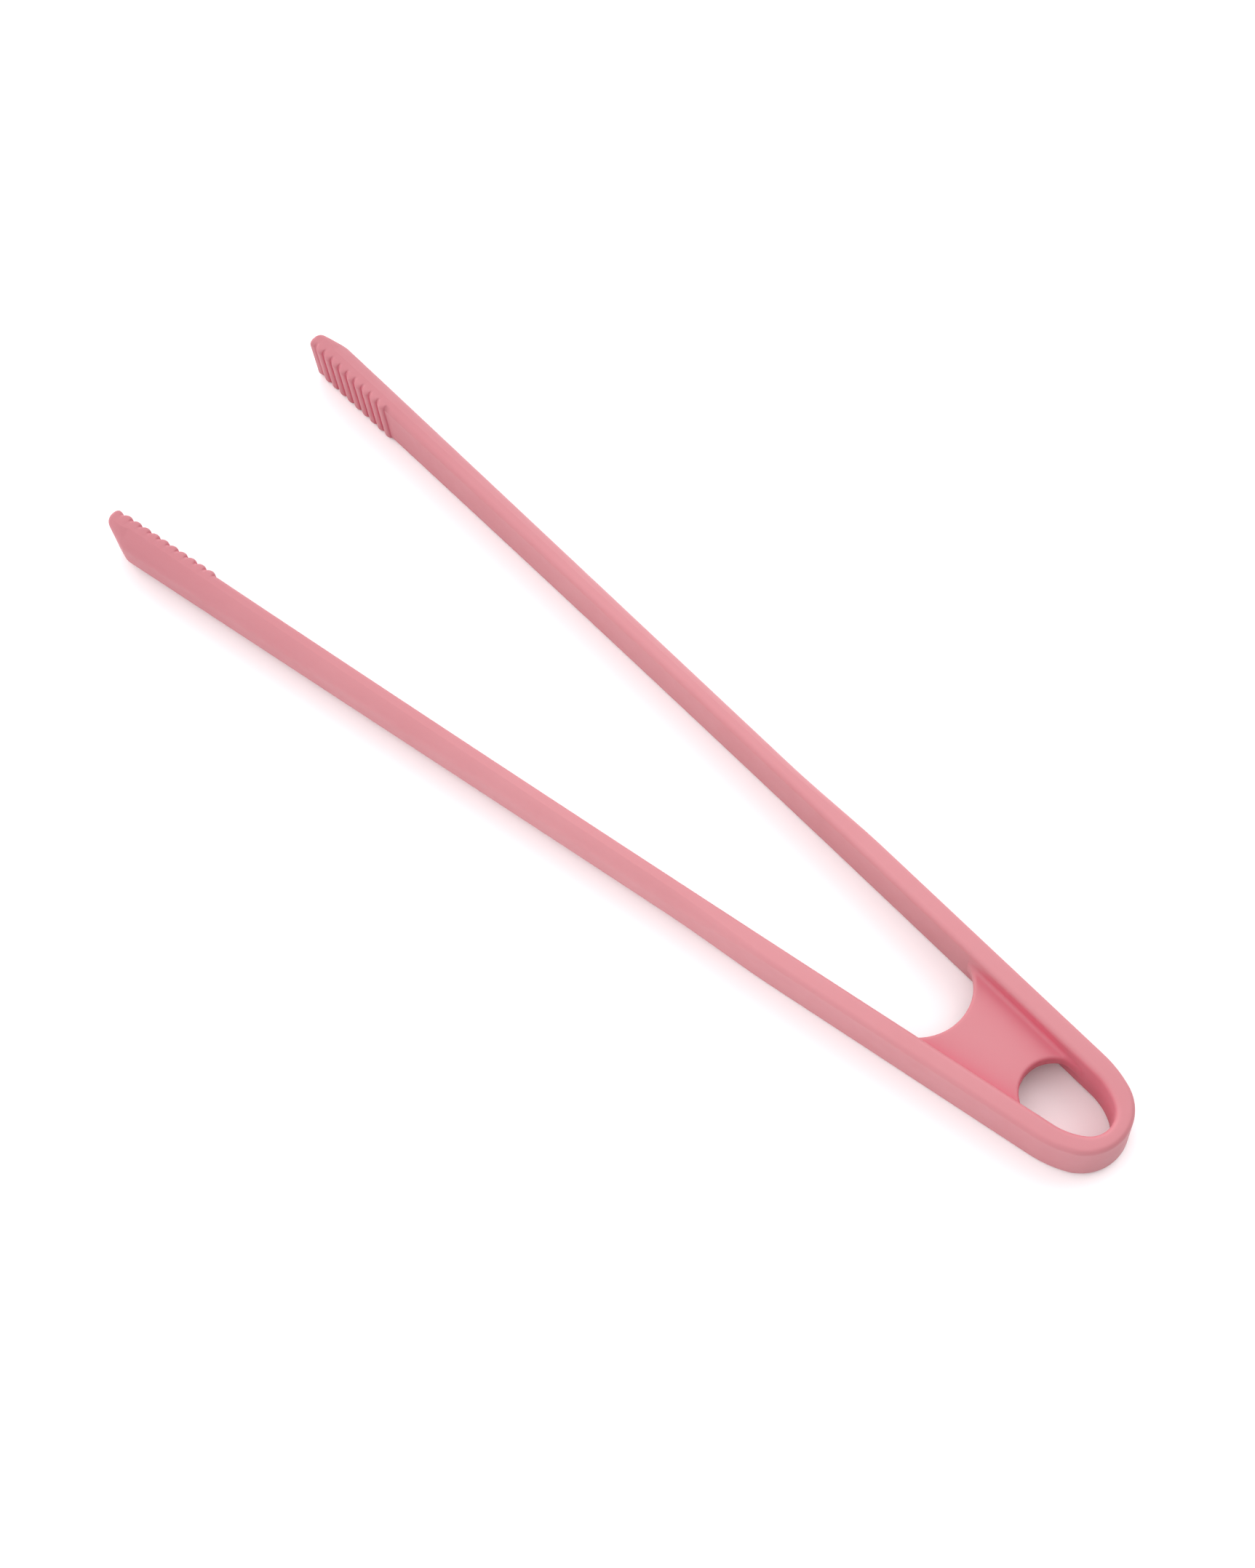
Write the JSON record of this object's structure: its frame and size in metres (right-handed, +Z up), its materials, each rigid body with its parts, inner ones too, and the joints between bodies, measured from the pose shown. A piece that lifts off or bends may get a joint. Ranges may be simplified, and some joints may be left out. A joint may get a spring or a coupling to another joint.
{
  "type": "spring kitchen tongs",
  "caption": "Slim one-piece spring tongs: flat elastic arms in a soft silicone jacket, a webbed bow with a hanging eye, and ribbed jaws at the tips.",
  "frame": {"origin": "bottom centre of the bounding box, on the surface that the tongs lie on", "axes": "+X from the bow to the jaws, +Y to the left arm, +Z up from the side that the tongs lie on"},
  "size_m": [0.27, 0.0748, 0.013],
  "materials": {
    "silicone": "matte moulded silicone, dusty pink",
    "nylon": "matte moulded nylon, dark grey"
  },
  "bodies": {
    "bow": {"bow_core": "nylon", "bow_sleeve": "silicone"},
    "left_arm_rear": {"left_arm_rear_core": "nylon", "left_arm_rear_sleeve": "silicone"},
    "left_arm_middle": {"left_arm_middle_core": "nylon", "left_arm_middle_sleeve": "silicone"},
    "left_arm_front": {"left_arm_front_core": "nylon", "left_arm_front_sleeve": "silicone"},
    "right_arm_rear": {"right_arm_rear_core": "nylon", "right_arm_rear_sleeve": "silicone"},
    "right_arm_middle": {"right_arm_middle_core": "nylon", "right_arm_middle_sleeve": "silicone"},
    "right_arm_front": {"right_arm_front_core": "nylon", "right_arm_front_sleeve": "silicone"}
  },
  "joints": [
    {"name": "left_arm_rear_bend", "type": "hinge", "parent": "bow", "child": "left_arm_rear", "pos_m": [-0.07831, 0.0137, 0.0065], "axis": [0, 0, -1], "range_deg": [-1, 3.11], "stiffness_Nm_per_rad": 3.1},
    {"name": "left_arm_middle_bend", "type": "hinge", "parent": "left_arm_rear", "child": "left_arm_middle", "pos_m": [-0.05797, 0.01579, 0.0065], "axis": [0, 0, -1], "range_deg": [-1, 3.11], "stiffness_Nm_per_rad": 2.4},
    {"name": "left_arm_front_bend", "type": "hinge", "parent": "left_arm_middle", "child": "left_arm_front", "pos_m": [-0.02672, 0.01898, 0.0065], "axis": [0, 0, -1], "range_deg": [-1, 3.11], "stiffness_Nm_per_rad": 1},
    {"name": "right_arm_rear_bend", "type": "hinge", "parent": "bow", "child": "right_arm_rear", "pos_m": [-0.07831, -0.0137, 0.0065], "axis": [0, 0, 1], "range_deg": [-1, 3.11], "stiffness_Nm_per_rad": 3.1},
    {"name": "right_arm_middle_bend", "type": "hinge", "parent": "right_arm_rear", "child": "right_arm_middle", "pos_m": [-0.05797, -0.01579, 0.0065], "axis": [0, 0, 1], "range_deg": [-1, 3.11], "stiffness_Nm_per_rad": 2.4},
    {"name": "right_arm_front_bend", "type": "hinge", "parent": "right_arm_middle", "child": "right_arm_front", "pos_m": [-0.02672, -0.01898, 0.0065], "axis": [0, 0, 1], "range_deg": [-1, 3.11], "stiffness_Nm_per_rad": 1}
  ],
  "couplings": [
    {"joint": "left_arm_middle_bend", "follows": "left_arm_rear_bend", "ratio": 1},
    {"joint": "left_arm_front_bend", "follows": "left_arm_rear_bend", "ratio": 1},
    {"joint": "right_arm_middle_bend", "follows": "right_arm_rear_bend", "ratio": 1},
    {"joint": "right_arm_front_bend", "follows": "right_arm_rear_bend", "ratio": 1}
  ]
}
